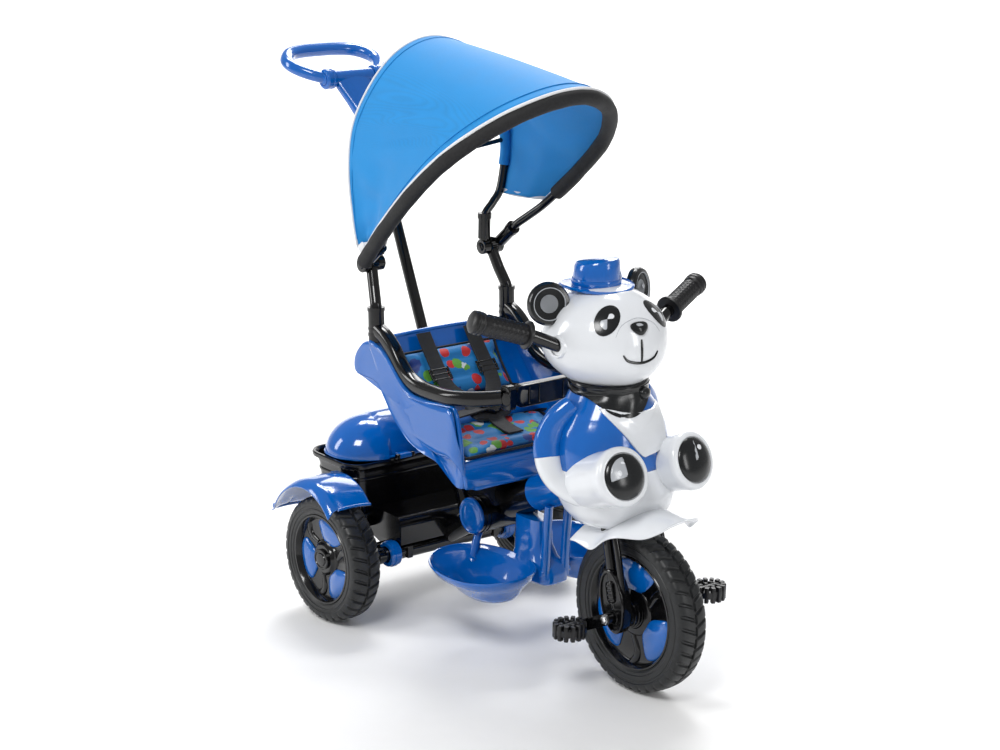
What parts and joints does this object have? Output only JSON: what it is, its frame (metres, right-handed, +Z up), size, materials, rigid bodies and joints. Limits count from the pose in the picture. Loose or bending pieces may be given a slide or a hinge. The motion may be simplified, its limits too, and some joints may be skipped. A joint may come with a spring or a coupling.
{
  "type": "children's tricycle",
  "caption": "Push-along child's tricycle with a figure front on the steered wheel, pedals, bucket seat, guard ring, folding canopy, lidded rear tub and parent handle.",
  "frame": {"origin": "on the floor below the middle of the overall length and width", "axes": "+X forward in the riding direction, +Y to the child's left, +Z up"},
  "size_m": [0.9878, 0.51, 0.927],
  "materials": {
    "black_steel": "gloss black powder coat on steel tube",
    "black_plastic": "gloss black moulded polypropylene",
    "blue_plastic": "gloss royal blue moulded polypropylene",
    "white_plastic": "gloss white blow-moulded plastic",
    "wheel_foam": "matt black moulded EVA foam",
    "grip_rubber": "soft black moulded rubber",
    "cushion_print": "azure printed polyester with bright shapes",
    "webbing": "black woven harness webbing",
    "canopy_cloth": "azure woven polyester with white piping",
    "foam_sleeve": "matt black foam tube",
    "scarf_black": "gloss black moulded neckerchief"
  },
  "bodies": {
    "chassis": {"main_frame": "black_steel", "cross_tube": "black_steel", "axle_collars": "blue_plastic", "rear_axle": "black_steel", "tube_cover": "black_plastic", "tube_sleeve": "blue_plastic", "pivot_barrel": "black_plastic", "pivot_caps": "blue_plastic", "storage_tub": "black_plastic", "fender_right": "blue_plastic", "fender_left": "blue_plastic", "seat_shell": "blue_plastic", "seat_cushion": "cushion_print", "back_cushion": "cushion_print", "seat_bracket": "black_plastic", "harness_straps": "webbing", "harness_hardware": "black_plastic", "guard_rail_right": "black_plastic", "guard_rail_left": "black_plastic", "canopy_post_right": "black_steel", "canopy_post_left": "black_steel", "canopy_hubs": "black_plastic", "push_socket": "black_plastic", "footrest": "blue_plastic"},
    "lid": {"trunk_lid": "blue_plastic"},
    "guard": {"guard_bar": "black_plastic"},
    "canopy_rear": {"rear_bow": "black_steel", "canopy_fabric": "canopy_cloth"},
    "canopy_front": {"front_bow": "black_steel", "bow_foam": "foam_sleeve"},
    "push": {"push_tube": "black_steel", "handle_neck": "blue_plastic"},
    "handle": {"handle_loop": "blue_plastic"},
    "steering": {"fork": "black_steel", "fork_covers": "black_plastic", "stem": "black_plastic", "handlebar": "black_steel", "grips": "grip_rubber", "panda_torso": "blue_plastic", "panda_legs": "white_plastic", "panda_arms": "white_plastic", "panda_skirt": "white_plastic", "panda_head": "white_plastic", "panda_scarf": "scarf_black", "panda_ears": "black_plastic", "panda_hat": "blue_plastic"},
    "front_wheel": {"front_tyre": "wheel_foam", "front_rim": "black_plastic", "front_petals": "blue_plastic", "crank": "black_steel"},
    "pedal_right_body": {"pedal_right": "grip_rubber"},
    "pedal_left_body": {"pedal_left": "grip_rubber"},
    "rear_right_wheel": {"rear_right_tyre": "wheel_foam", "rear_right_rim": "black_plastic", "rear_right_petals": "blue_plastic", "rear_right_hub_cap": "black_plastic"},
    "rear_left_wheel": {"rear_left_tyre": "wheel_foam", "rear_left_rim": "black_plastic", "rear_left_petals": "blue_plastic", "rear_left_hub_cap": "black_plastic"}
  },
  "joints": [
    {"name": "steer_turn", "type": "hinge", "parent": "chassis", "child": "steering", "pos_m": [0.369, 0, 0.125], "axis": [-0.2453, 0, 0.9694], "range_deg": [-30, 30]},
    {"name": "front_wheel_spin", "type": "hinge", "parent": "steering", "child": "front_wheel", "pos_m": [0.369, 0, 0.125], "axis": [0, 1, 0], "continuous": true},
    {"name": "pedal_right_spin", "type": "hinge", "parent": "front_wheel", "child": "pedal_right_body", "pos_m": [0.321, -0.0975, 0.101], "axis": [0, 1, 0], "continuous": true},
    {"name": "pedal_left_spin", "type": "hinge", "parent": "front_wheel", "child": "pedal_left_body", "pos_m": [0.417, 0.0975, 0.149], "axis": [0, 1, 0], "continuous": true},
    {"name": "rear_right_wheel_spin", "type": "hinge", "parent": "chassis", "child": "rear_right_wheel", "pos_m": [-0.141, -0.21, 0.104], "axis": [0, 1, 0], "continuous": true},
    {"name": "rear_left_wheel_spin", "type": "hinge", "parent": "chassis", "child": "rear_left_wheel", "pos_m": [-0.141, 0.21, 0.104], "axis": [0, 1, 0], "continuous": true},
    {"name": "canopy_rear_tilt", "type": "hinge", "parent": "chassis", "child": "canopy_rear", "pos_m": [-0.159, 0, 0.578], "axis": [0, -1, 0], "range_deg": [0, 15]},
    {"name": "canopy_front_fold", "type": "hinge", "parent": "canopy_rear", "child": "canopy_front", "pos_m": [-0.159, 0, 0.578], "axis": [0, -1, 0], "range_deg": [0, 32], "deforming": ["canopy_fabric"]},
    {"name": "guard_bar_lift", "type": "hinge", "parent": "chassis", "child": "guard", "pos_m": [0.151, 0.066, 0.421], "axis": [-1, 0, 0], "range_deg": [0, 90]},
    {"name": "trunk_lid_lift", "type": "hinge", "parent": "chassis", "child": "lid", "pos_m": [-0.147, 0, 0.248], "axis": [0, 1, 0], "range_deg": [0, 45]},
    {"name": "push_tube_slide", "type": "slide", "parent": "chassis", "child": "push", "axis": [-0.4131, 0, 0.9107], "range_m": [-0.1, 0]},
    {"name": "handle_tilt", "type": "hinge", "parent": "push", "child": "handle", "pos_m": [-0.386, 0, 0.84], "axis": [0, 1, 0], "range_deg": [-30, 60]}
  ]
}
